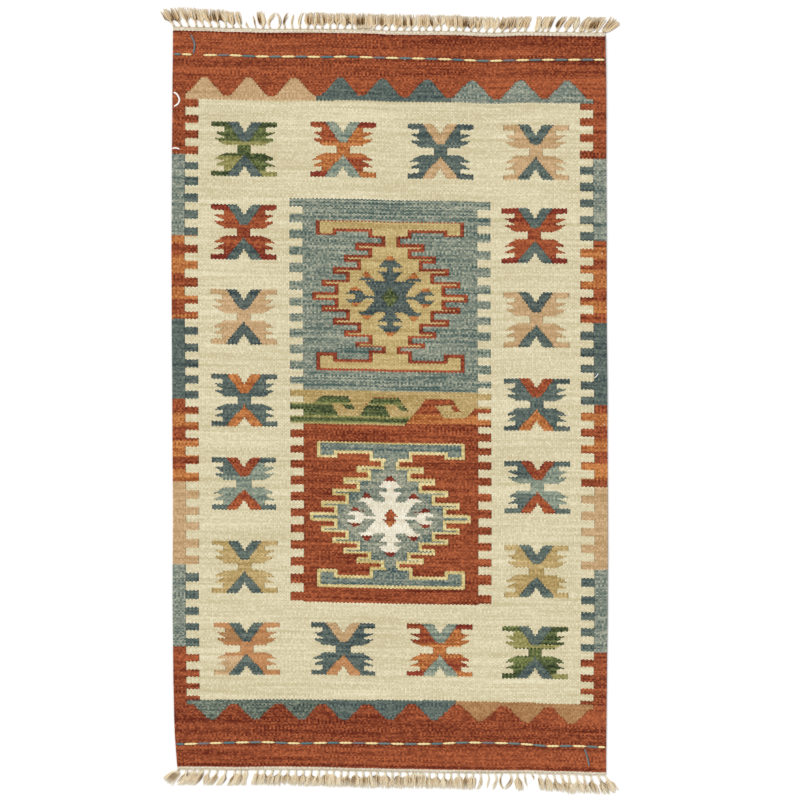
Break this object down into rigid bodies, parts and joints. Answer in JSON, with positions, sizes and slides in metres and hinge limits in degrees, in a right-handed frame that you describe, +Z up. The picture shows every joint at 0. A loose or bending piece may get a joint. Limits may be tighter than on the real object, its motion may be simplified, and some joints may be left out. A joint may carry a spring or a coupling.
{
  "type": "flat-woven kilim rug",
  "caption": "Flat-woven wool kilim with a medallion panel, dogtooth rows and comb borders, and a knotted cotton fringe along each end. Lies flat on a floor.",
  "frame": {"origin": "middle of the cloth's underside, on the plane that the rug lies on", "axes": "+Y along the rug's length to its far end, +X to the right across its width, +Z up out of the face"},
  "size_m": [0.9524, 1.6255, 0.0035],
  "materials": {
    "wool_tapestry": "matt weft-faced wool tapestry in rust, cream, slate blue, tan and gold, ribbed along its length",
    "cotton_warp": "matt undyed cotton warp ends, soft and slightly twisted"
  },
  "bodies": {
    "root": {"kilim_cloth": "wool_tapestry", "fringe_far": "cotton_warp", "fringe_near": "cotton_warp"}
  },
  "joints": []
}
